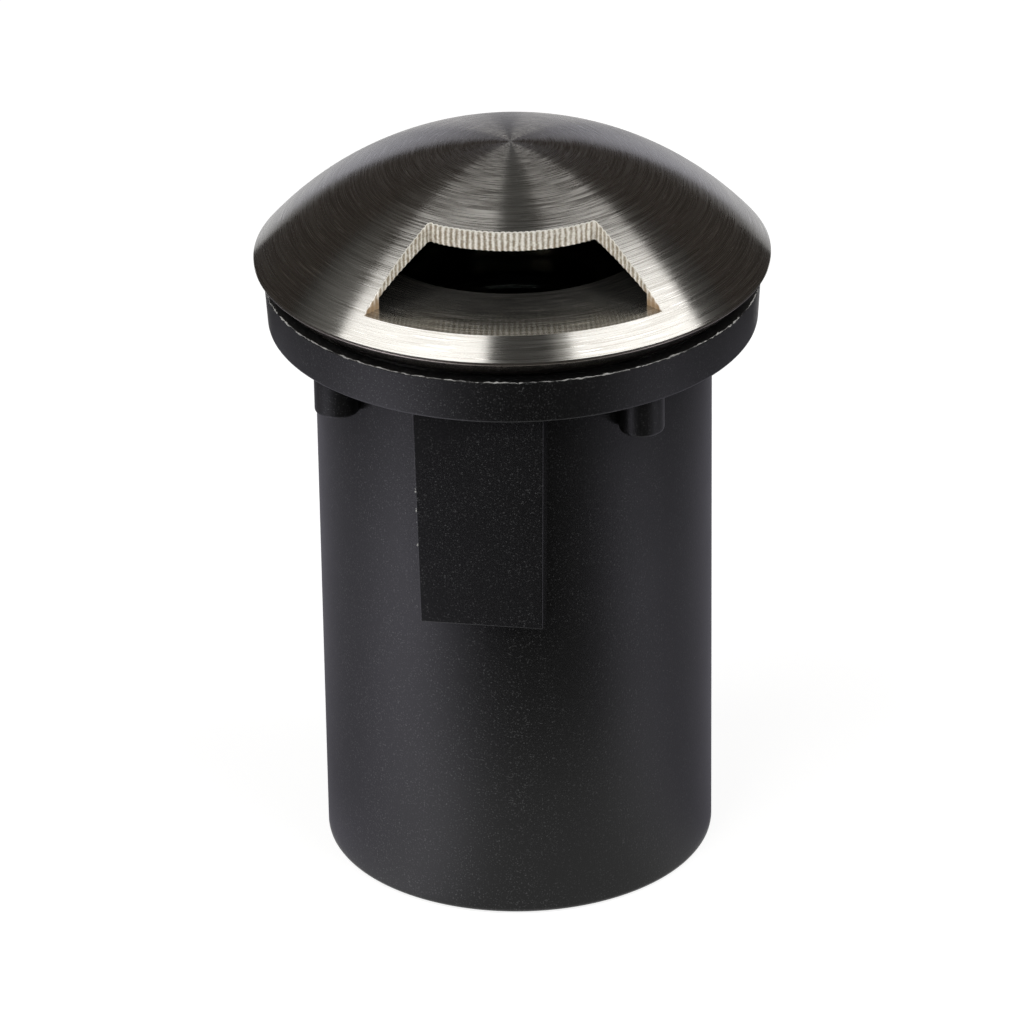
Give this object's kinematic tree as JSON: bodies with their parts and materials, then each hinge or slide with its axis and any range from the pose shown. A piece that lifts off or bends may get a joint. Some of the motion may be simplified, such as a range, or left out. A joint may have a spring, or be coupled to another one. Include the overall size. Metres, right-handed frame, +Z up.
{
  "type": "walk-over marker light",
  "caption": "In-ground marker light: brushed steel dome with one side window, turned by hand to aim and pulled off, over a black canister that holds the glass, lamp and cable gland.",
  "frame": {"origin": "centre of the canister's bottom edge, which the light stands on", "axes": "+Z up along the canister's axis; the dome's window faces -Y"},
  "size_m": [0.11, 0.11, 0.1639],
  "materials": {
    "dome_steel": "circular brushed stainless steel",
    "canister_plastic": "satin black moulded polypropylene",
    "rubber": "black rubber",
    "glass": "clear toughened glass",
    "clamp_metal": "black anodised",
    "screw_steel": "plain stainless",
    "bracket_steel": "galvanised strip",
    "ceramic": "unglazed steatite",
    "lead_black": "silicone insulation",
    "lead_red": "silicone insulation",
    "terminal_nylon": "natural nylon",
    "brass": "plain brass",
    "gland_nylon": "black nylon",
    "lamp_metal": "die cast, plain",
    "board": "white solder mask",
    "chip": "phosphor",
    "lamp_glass": "clear",
    "lamp_plastic": "white plastic"
  },
  "bodies": {
    "canister": {"sleeve": "canister_plastic", "lens_gasket": "rubber", "lens": "glass", "clamp_ring": "clamp_metal", "clamp_screws": "screw_steel", "holder_bracket": "bracket_steel", "bracket_screws": "screw_steel", "lampholder": "ceramic", "holder_screws": "screw_steel", "holder_nuts": "screw_steel", "lead_left": "lead_black", "lead_right": "lead_red", "terminal_block": "terminal_nylon", "terminal_tubes": "brass", "terminal_screws": "screw_steel", "block_screw": "screw_steel", "gland_body": "gland_nylon", "gland_washer": "rubber", "gland_locknut": "gland_nylon", "gland_seal": "rubber", "gland_cap": "gland_nylon"},
    "grip": {"grip_ring": "rubber"},
    "head": {"dome_cover": "dome_steel", "floor_plate": "dome_steel"},
    "lamp": {"lamp_housing": "lamp_metal", "lamp_board": "board", "lamp_leds": "chip", "lamp_lens": "lamp_glass", "lamp_base": "lamp_plastic", "lamp_pins": "brass"}
  },
  "joints": [
    {"name": "head_turn", "type": "hinge", "parent": "canister", "child": "grip", "pos_m": [0, 0, 0.1373], "axis": [0, 0, 1], "continuous": true},
    {"name": "head_lift", "type": "slide", "parent": "grip", "child": "head", "axis": [0, 0, 1], "range_m": [0, 0.05]},
    {"name": "lamp_pull", "type": "slide", "parent": "canister", "child": "lamp", "axis": [0, 0, 1], "range_m": [0, 0.0075]}
  ]
}
